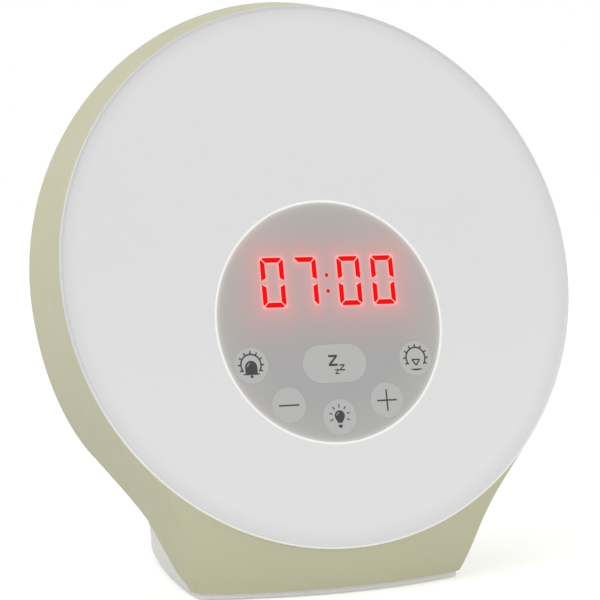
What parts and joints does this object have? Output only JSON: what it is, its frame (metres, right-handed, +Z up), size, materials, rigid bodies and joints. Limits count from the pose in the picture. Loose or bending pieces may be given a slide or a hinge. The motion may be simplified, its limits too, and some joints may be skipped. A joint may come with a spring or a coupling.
{
  "type": "sunrise alarm clock",
  "caption": "Sunrise alarm clock: a leaning opal light disc with a round control panel and display, in a sage case with a flared foot.",
  "frame": {"origin": "middle of the footprint, on the surface that the clock stands on", "axes": "+Z up; the lit disc faces -Y; +X is to the right of someone looking at the disc"},
  "size_m": [0.1774, 0.12, 0.1908],
  "materials": {
    "sage_case": "fine satin moulding",
    "white_case": "fine satin moulding",
    "opal_plastic": "satin opal diffuser",
    "lit_ring": "clear light guide, softly lit",
    "inner_plastic": "plain moulding",
    "reflector_white": "bright white reflector",
    "grey_panel": "smoked satin panel",
    "grey_key": "satin key top",
    "red_display": "lit red segments",
    "black_plastic": "plain black moulding",
    "white_plastic": "connector moulding",
    "circuit_board": "solder-masked board",
    "white_board": "white solder-masked board",
    "led_amber": "phosphor chips",
    "screw_steel": "zinc plated",
    "foot_rubber": "soft rubber",
    "ribbon_film": "flat flexible cable",
    "can_metal": "capacitor cans",
    "cell_steel": "coin cell can",
    "speaker_metal": "pressed basket and magnet",
    "cone_paper": "doped paper cone",
    "foam_gasket": "closed-cell foam"
  },
  "bodies": {
    "clock": {"front_shroud": "sage_case", "rear_shell": "white_case", "base_plate": "white_case", "diffuser": "opal_plastic", "light_ring": "lit_ring", "panel_pod": "inner_plastic", "reflector_tray": "reflector_white", "control_panel": "grey_panel", "display_digits": "red_display", "display_module": "black_plastic", "key_board": "circuit_board", "main_board": "circuit_board", "led_board": "white_board", "led_chips": "led_amber", "key_switches": "black_plastic", "tray_screws": "screw_steel", "led_board_screws": "screw_steel", "panel_screws": "screw_steel", "main_board_screws": "screw_steel", "case_screws": "screw_steel", "base_screws": "screw_steel", "speaker_screws": "screw_steel", "rubber_feet": "foot_rubber", "ribbon_sockets": "white_plastic", "ribbon_cable": "ribbon_film", "board_chips": "black_plastic", "board_capacitors": "can_metal", "cell_holder": "black_plastic", "coin_cell": "cell_steel", "speaker_frame": "speaker_metal", "speaker_cone": "cone_paper", "speaker_gasket": "foam_gasket", "dc_socket": "black_plastic"},
    "alarm_key_body": {"alarm_key": "grey_key"},
    "sunset_key_body": {"sunset_key": "grey_key"},
    "snooze_key_body": {"snooze_key": "grey_key"},
    "minus_key_body": {"minus_key": "grey_key"},
    "plus_key_body": {"plus_key": "grey_key"},
    "lamp_key_body": {"lamp_key": "grey_key"}
  },
  "joints": [
    {"name": "alarm_key_press", "type": "slide", "parent": "clock", "child": "alarm_key_body", "axis": [0, 0.9734, -0.2292], "range_m": [0, 0.0006], "stiffness_N_per_m": 900, "springref_m": -0.0002},
    {"name": "sunset_key_press", "type": "slide", "parent": "clock", "child": "sunset_key_body", "axis": [0, 0.9734, -0.2292], "range_m": [0, 0.0006], "stiffness_N_per_m": 900, "springref_m": -0.0002},
    {"name": "snooze_key_press", "type": "slide", "parent": "clock", "child": "snooze_key_body", "axis": [0, 0.9734, -0.2292], "range_m": [0, 0.0006], "stiffness_N_per_m": 900, "springref_m": -0.0002},
    {"name": "minus_key_press", "type": "slide", "parent": "clock", "child": "minus_key_body", "axis": [0, 0.9734, -0.2292], "range_m": [0, 0.0006], "stiffness_N_per_m": 900, "springref_m": -0.0002},
    {"name": "plus_key_press", "type": "slide", "parent": "clock", "child": "plus_key_body", "axis": [0, 0.9734, -0.2292], "range_m": [0, 0.0006], "stiffness_N_per_m": 900, "springref_m": -0.0002},
    {"name": "lamp_key_press", "type": "slide", "parent": "clock", "child": "lamp_key_body", "axis": [0, 0.9734, -0.2292], "range_m": [0, 0.0006], "stiffness_N_per_m": 900, "springref_m": -0.0002}
  ]
}
